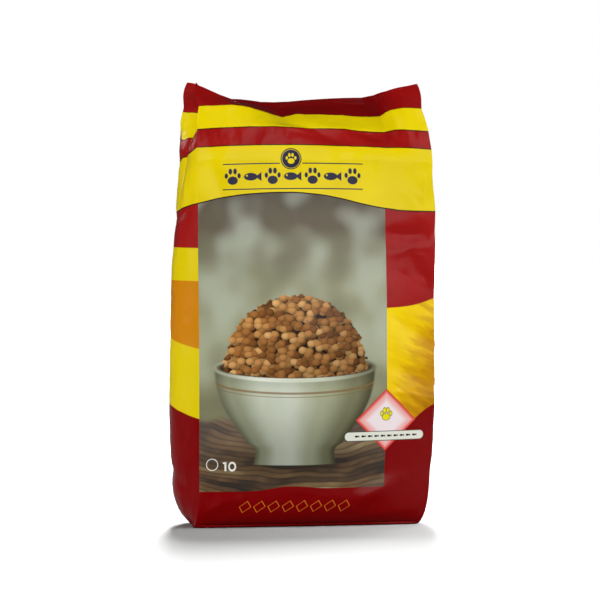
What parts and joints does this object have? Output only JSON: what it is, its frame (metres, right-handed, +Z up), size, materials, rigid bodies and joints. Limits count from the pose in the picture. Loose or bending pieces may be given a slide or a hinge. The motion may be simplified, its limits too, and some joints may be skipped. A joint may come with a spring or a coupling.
{
  "type": "pet food bag",
  "caption": "Tall sealed side-gusseted bag of dry pet food in glossy printed film, filled and standing on its base, with a folded-back crimped top seal.",
  "frame": {"origin": "middle of the bag's outline on the surface it stands on", "axes": "+Z up along the bag's height, -Y out of the front panel, +X to the right seen from the front"},
  "size_m": [0.3932, 0.1608, 0.6402],
  "materials": {
    "printed_film": "gloss"
  },
  "bodies": {
    "root": {"bag": "printed_film"}
  },
  "joints": []
}
